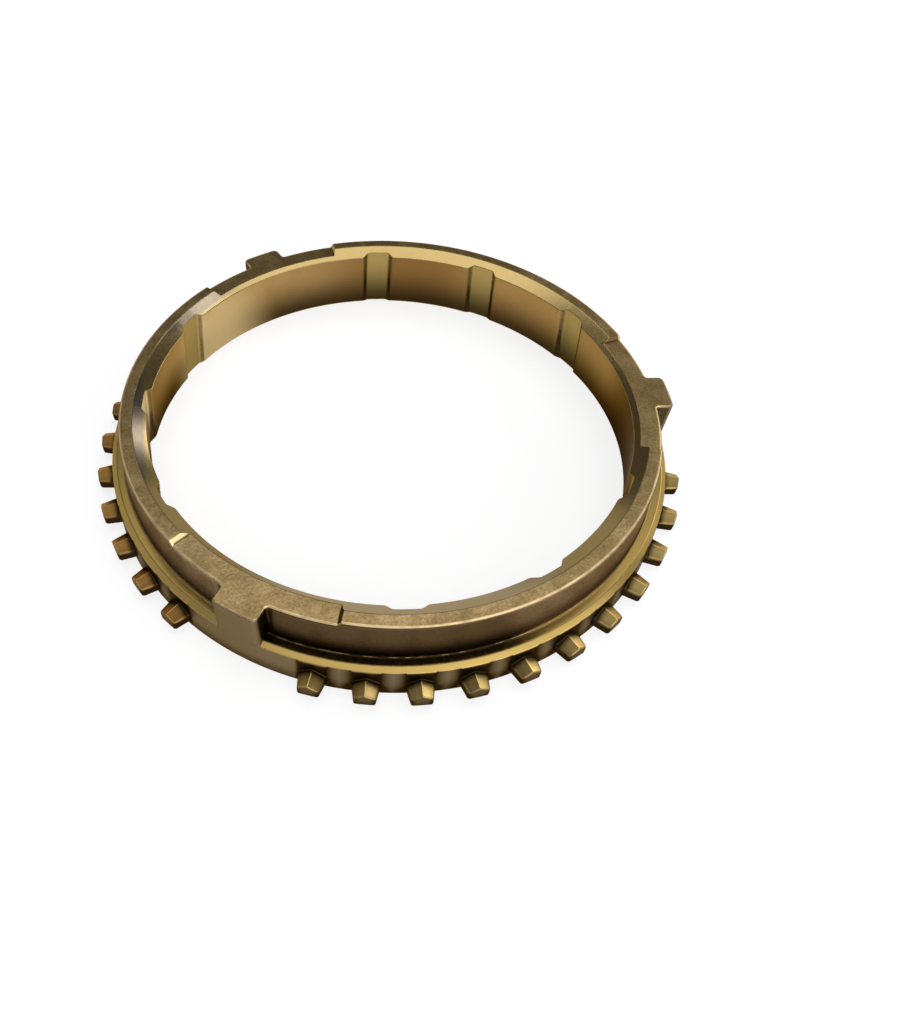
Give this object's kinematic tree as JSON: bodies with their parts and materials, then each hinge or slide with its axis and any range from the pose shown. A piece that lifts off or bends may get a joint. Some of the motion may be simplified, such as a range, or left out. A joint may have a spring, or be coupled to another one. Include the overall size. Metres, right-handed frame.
{
  "type": "synchronizer ring",
  "caption": "Brass synchronizer ring: a blocker ring with a conical friction bore, axial oil grooves, hub lugs and pointed locking teeth, for a manual gearbox.",
  "frame": {"origin": "on the ring's axis, in the plane of the gear-side face on which the ring stands", "axes": "+Z along the axis from the gear side to the hub side, +X through the middle of the first lug"},
  "size_m": [0.0732, 0.074, 0.0098],
  "materials": {
    "brass": "dull forged brass, bright where it was turned"
  },
  "bodies": {
    "root": {"synchronizer_ring": "brass"}
  },
  "joints": []
}
